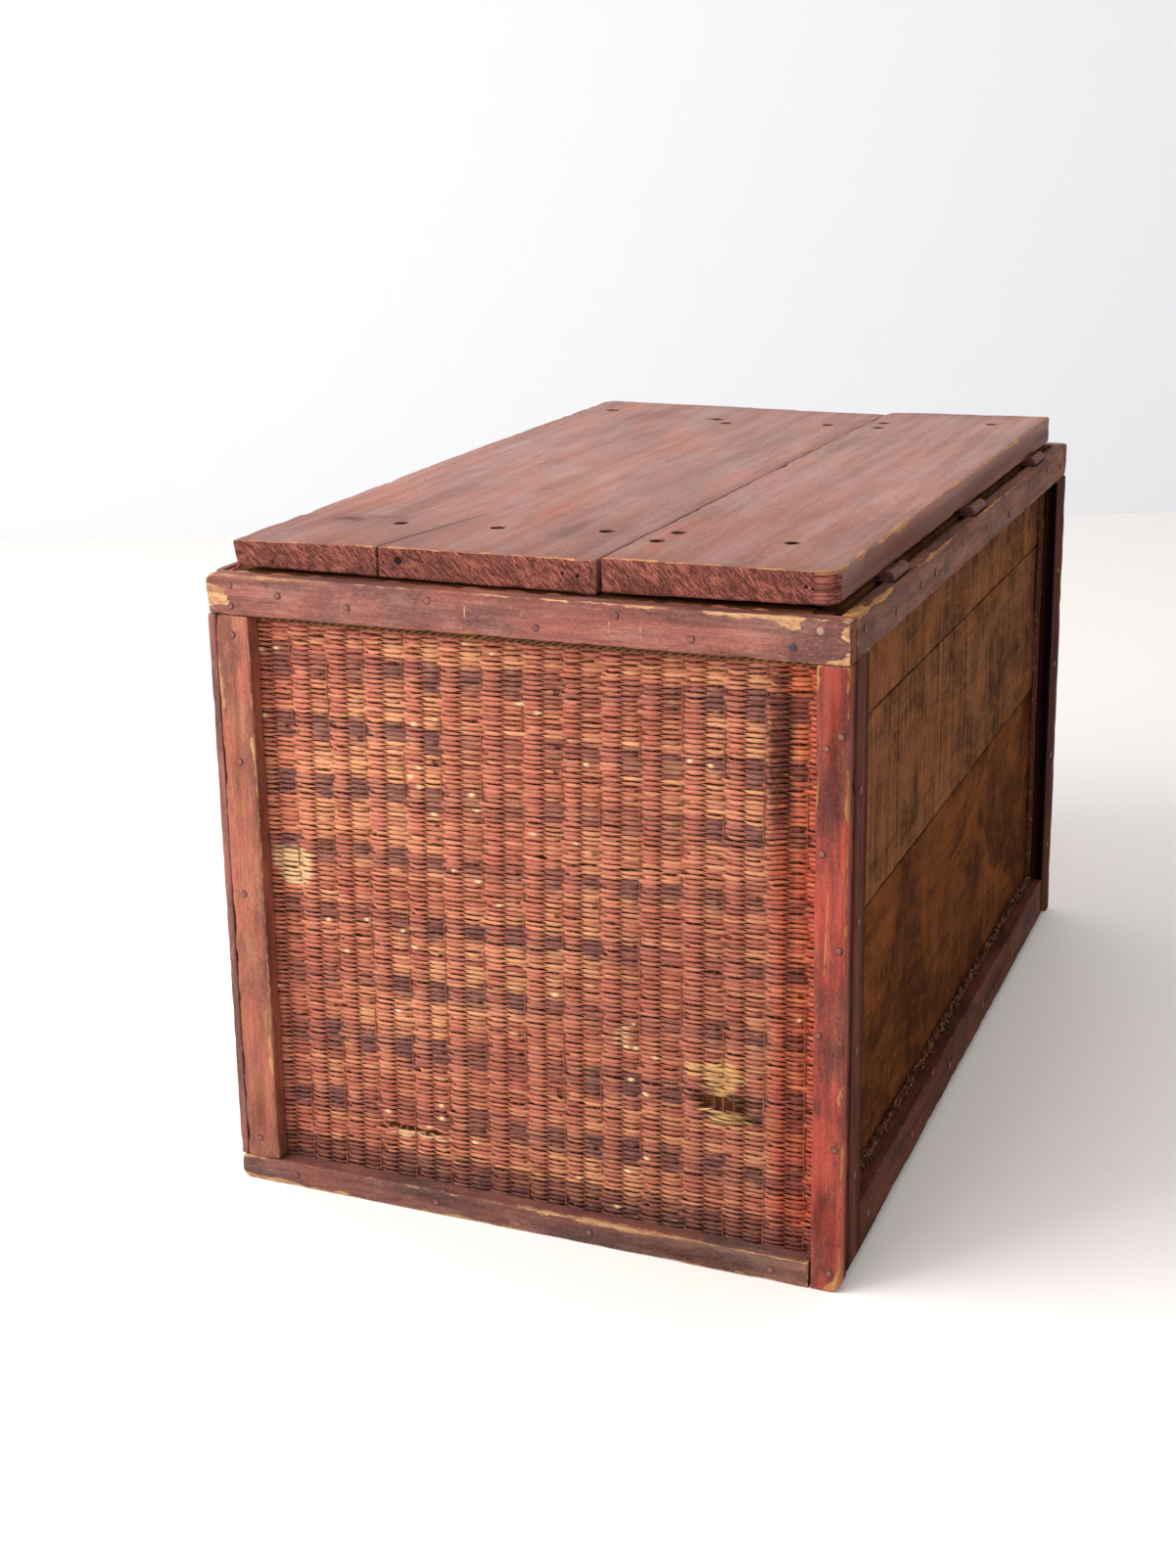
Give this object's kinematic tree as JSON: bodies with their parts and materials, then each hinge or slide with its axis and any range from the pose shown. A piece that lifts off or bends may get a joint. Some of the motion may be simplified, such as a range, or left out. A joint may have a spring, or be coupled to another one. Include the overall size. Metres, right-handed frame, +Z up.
{
  "type": "shipping crate",
  "caption": "Lidded wooden shipping crate: board walls faced with woven matting under narrow laths, and a plank lid on butt hinges.",
  "frame": {"origin": "middle of the footprint, on the floor", "axes": "+Z up; the long sides run along Y with the front end at -Y; the lid's hinges are on the +X side"},
  "size_m": [0.4316, 0.7016, 0.4558],
  "materials": {
    "lath_paint": "worn oxblood paint on softwood laths, rubbed bare and ochre along the edges",
    "lid_paint": "dusty worn red paint on softwood planks, rubbed bare at the arrises",
    "bare_board": "unpainted rough-sawn softwood, darkened with age",
    "wicker": "plain woven reed, stained red with dark and tan bands",
    "hinge_iron": "rusty iron with old paint over it",
    "nail_iron": "dark rusted nail heads"
  },
  "bodies": {
    "crate": {"crate_hinge_screws": "hinge_iron", "floor_hinge_board": "bare_board", "floor_left_board": "bare_board", "floor_middle_board": "bare_board", "floor_nails": "nail_iron", "front_bottom_rail": "lath_paint", "front_hinge_stile": "lath_paint", "front_lath_nails": "nail_iron", "front_left_stile": "lath_paint", "front_matting": "wicker", "front_top_rail": "lath_paint", "front_wall_lower_board": "bare_board", "front_wall_middle_board": "bare_board", "front_wall_upper_board": "bare_board", "hinge_1_crate_leaf": "hinge_iron", "hinge_1_pin": "hinge_iron", "hinge_2_crate_leaf": "hinge_iron", "hinge_2_pin": "hinge_iron", "hinge_3_crate_leaf": "hinge_iron", "hinge_3_pin": "hinge_iron", "hinge_lath_nails": "nail_iron", "hinge_matting_remains": "wicker", "hinge_side_bottom_rail": "lath_paint", "hinge_side_front_stile": "lath_paint", "hinge_side_rear_stile": "lath_paint", "hinge_side_top_rail": "lath_paint", "hinge_wall_lower_board": "bare_board", "hinge_wall_middle_board": "bare_board", "hinge_wall_upper_board": "bare_board", "left_lath_nails": "nail_iron", "left_matting": "wicker", "left_side_bottom_rail": "lath_paint", "left_side_front_stile": "lath_paint", "left_side_rear_stile": "lath_paint", "left_side_top_rail": "lath_paint", "left_wall_lower_board": "bare_board", "left_wall_middle_board": "bare_board", "left_wall_upper_board": "bare_board", "rear_bottom_rail": "lath_paint", "rear_hinge_stile": "lath_paint", "rear_lath_nails": "nail_iron", "rear_left_stile": "lath_paint", "rear_matting": "wicker", "rear_top_rail": "lath_paint", "rear_wall_lower_board": "bare_board", "rear_wall_middle_board": "bare_board", "rear_wall_upper_board": "bare_board", "wall_nails": "nail_iron"},
    "lid": {"hinge_1_lid_leaf": "hinge_iron", "hinge_2_lid_leaf": "hinge_iron", "hinge_3_lid_leaf": "hinge_iron", "lid_front_batten": "lid_paint", "lid_hinge_screws": "hinge_iron", "lid_nails": "nail_iron", "lid_narrow_board": "lid_paint", "lid_rear_batten": "lid_paint", "lid_wide_board": "lid_paint"}
  },
  "joints": [
    {"name": "lid_hinge", "type": "hinge", "parent": "crate", "child": "lid", "pos_m": [0.2078, 0, 0.432], "axis": [0, 1, 0], "range_deg": [0, 140]}
  ]
}
